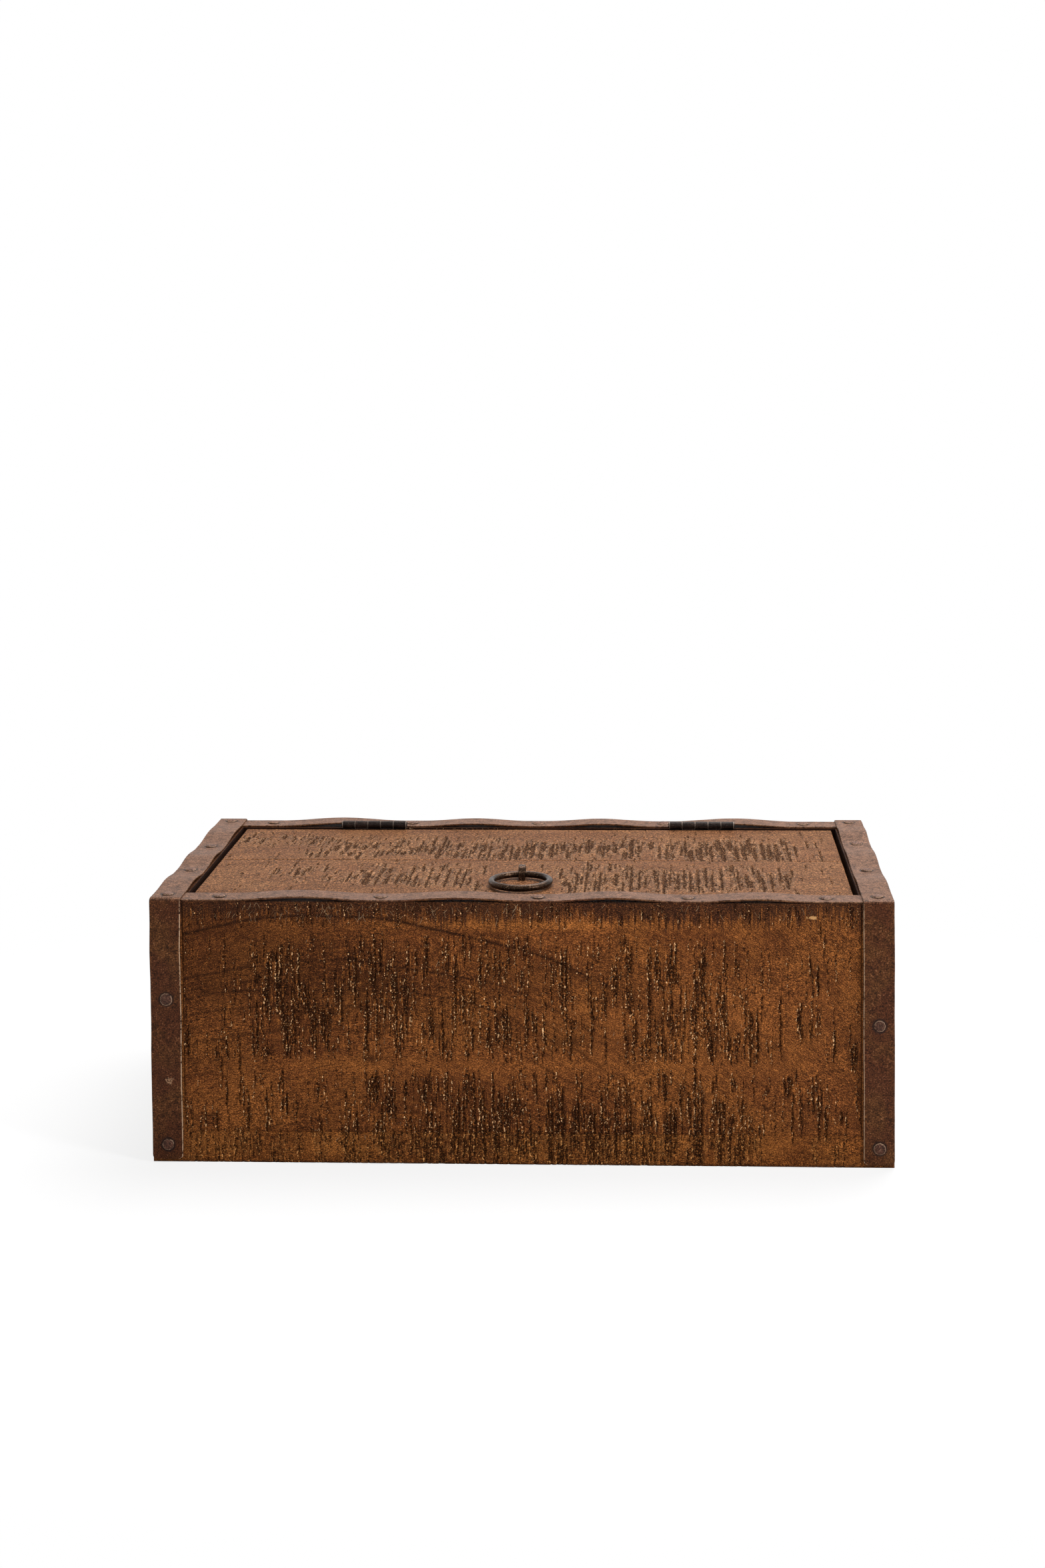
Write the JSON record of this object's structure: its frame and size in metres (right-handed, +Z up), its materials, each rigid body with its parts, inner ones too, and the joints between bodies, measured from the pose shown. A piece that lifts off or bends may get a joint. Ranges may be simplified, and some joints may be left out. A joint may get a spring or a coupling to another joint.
{
  "type": "small chest",
  "caption": "Small rough-sawn wooden chest with nailed iron straps on its edges, a flush plank lid on butt hinges and a ring pull on a staple.",
  "frame": {"origin": "middle of the chest's footprint, on the surface that it stands on", "axes": "+X to the chest's right seen from the front, +Y to its back, +Z up; the lid is closed"},
  "size_m": [0.46, 0.2348, 0.1727],
  "materials": {
    "carcass_wood": "rough-sawn, waxed",
    "bottom_wood": "rough-sawn",
    "lid_wood": "rough-sawn, waxed",
    "inner_wood": "sawn, bare",
    "strap_iron": "rusted, oiled",
    "nail_iron": "worn",
    "hinge_iron": "blackened",
    "pull_iron": "worn"
  },
  "bodies": {
    "chest": {"front_wall": "carcass_wood", "back_wall": "carcass_wood", "left_wall": "carcass_wood", "right_wall": "carcass_wood", "bottom_front_plank": "bottom_wood", "bottom_back_plank": "bottom_wood", "left_lid_ledge": "inner_wood", "right_lid_ledge": "inner_wood", "front_rim_strap": "strap_iron", "back_rim_strap": "strap_iron", "left_side_strap": "strap_iron", "right_side_strap": "strap_iron", "front_rim_nails": "nail_iron", "back_rim_nails": "nail_iron", "left_strap_nails": "nail_iron", "right_strap_nails": "nail_iron", "left_corner_nails": "nail_iron", "right_corner_nails": "nail_iron", "left_wall_nails": "nail_iron", "right_wall_nails": "nail_iron", "bottom_nails": "nail_iron", "left_ledge_nails": "nail_iron", "right_ledge_nails": "nail_iron", "left_hinge_body_leaf": "hinge_iron", "left_hinge_pin": "hinge_iron", "left_hinge_body_screws": "hinge_iron", "right_hinge_body_leaf": "hinge_iron", "right_hinge_pin": "hinge_iron", "right_hinge_body_screws": "hinge_iron"},
    "lid": {"lid_front_plank": "lid_wood", "lid_back_plank": "lid_wood", "left_lid_batten": "inner_wood", "left_batten_nails": "nail_iron", "left_hinge_lid_leaf": "hinge_iron", "left_hinge_lid_screws": "hinge_iron", "right_lid_batten": "inner_wood", "right_batten_nails": "nail_iron", "right_hinge_lid_leaf": "hinge_iron", "right_hinge_lid_screws": "hinge_iron", "ring_staple": "pull_iron"},
    "ring": {"ring_pull": "pull_iron"}
  },
  "joints": [
    {"name": "lid_hinge", "type": "hinge", "parent": "chest", "child": "lid", "pos_m": [0, 0.0935, 0.1667], "axis": [-1, 0, 0], "range_deg": [0, 180]},
    {"name": "ring_hinge", "type": "hinge", "parent": "lid", "child": "ring", "pos_m": [-0.002, -0.05156, 0.1666], "axis": [-1, 0, 0], "range_deg": [0, 180]}
  ]
}
